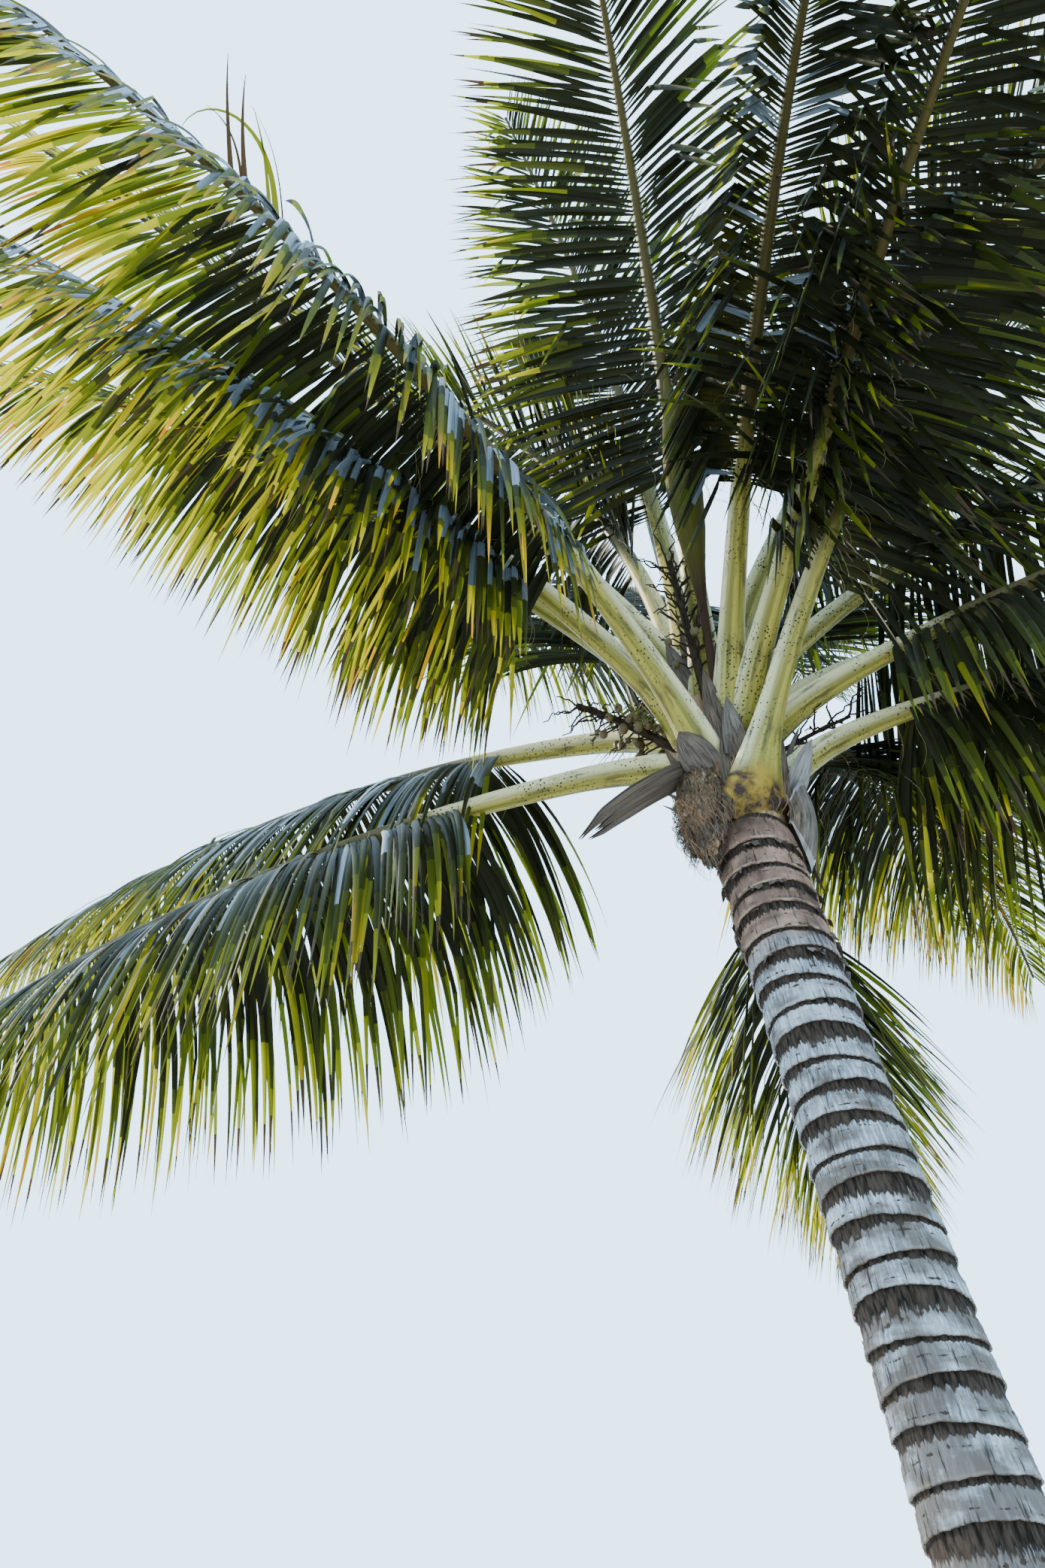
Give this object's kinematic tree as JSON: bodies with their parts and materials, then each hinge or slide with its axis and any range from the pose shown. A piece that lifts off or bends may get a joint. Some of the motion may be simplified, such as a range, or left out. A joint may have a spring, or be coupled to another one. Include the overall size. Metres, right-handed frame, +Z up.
{
  "type": "coconut palm tree",
  "caption": "Leaning ringed palm trunk with a flared foot and a full crown of arching feather fronds, a closed flower sheath, fruit and dry sheaths; stands fixed in level ground.",
  "frame": {"origin": "centre of the flat cut under the trunk, at ground level", "axes": "+Z up; -X is the way the trunk leans; -Y is the side that the picture shows"},
  "size_m": [6.9361, 7.0289, 8.6948],
  "materials": {
    "bark": "dry blue-grey bark with dark leaf scars",
    "crown_fibre": "matted brown fibre, rough",
    "frond": "satin green leaflets on a yellow-green stalk",
    "young_leaf": "satin pale green, folded",
    "spathe": "ribbed olive green, satin",
    "dry_flower": "dry dark brown twigs",
    "fruit": "young nuts, dull green-brown",
    "dry_sheath": "dry grey-brown leaf sheath",
    "leaf_base": "old grey leaf base with a pale cut"
  },
  "bodies": {
    "root": {"trunk": "bark", "crown_heart": "crown_fibre", "spear_leaf": "young_leaf", "green_spathe": "spathe", "flower_bunch": "dry_flower", "fruit_bunch": "fruit", "dry_twigs": "dry_flower", "dry_strap": "dry_sheath", "fibre_mat": "crown_fibre", "leaf_boot": "leaf_base", "frond_01": "frond", "frond_02": "frond", "frond_03": "frond", "frond_04": "frond", "frond_05": "frond", "frond_06": "frond", "frond_07": "frond", "frond_08": "frond", "frond_09": "frond", "frond_10": "frond", "frond_11": "frond", "frond_12": "frond", "frond_13": "frond", "frond_14": "frond", "frond_15": "frond", "frond_16": "frond", "frond_17": "frond", "frond_18": "frond", "frond_19": "frond", "frond_20": "frond", "frond_21": "frond", "frond_22": "frond", "frond_23": "frond", "frond_24": "frond", "frond_25": "frond"}
  },
  "joints": []
}
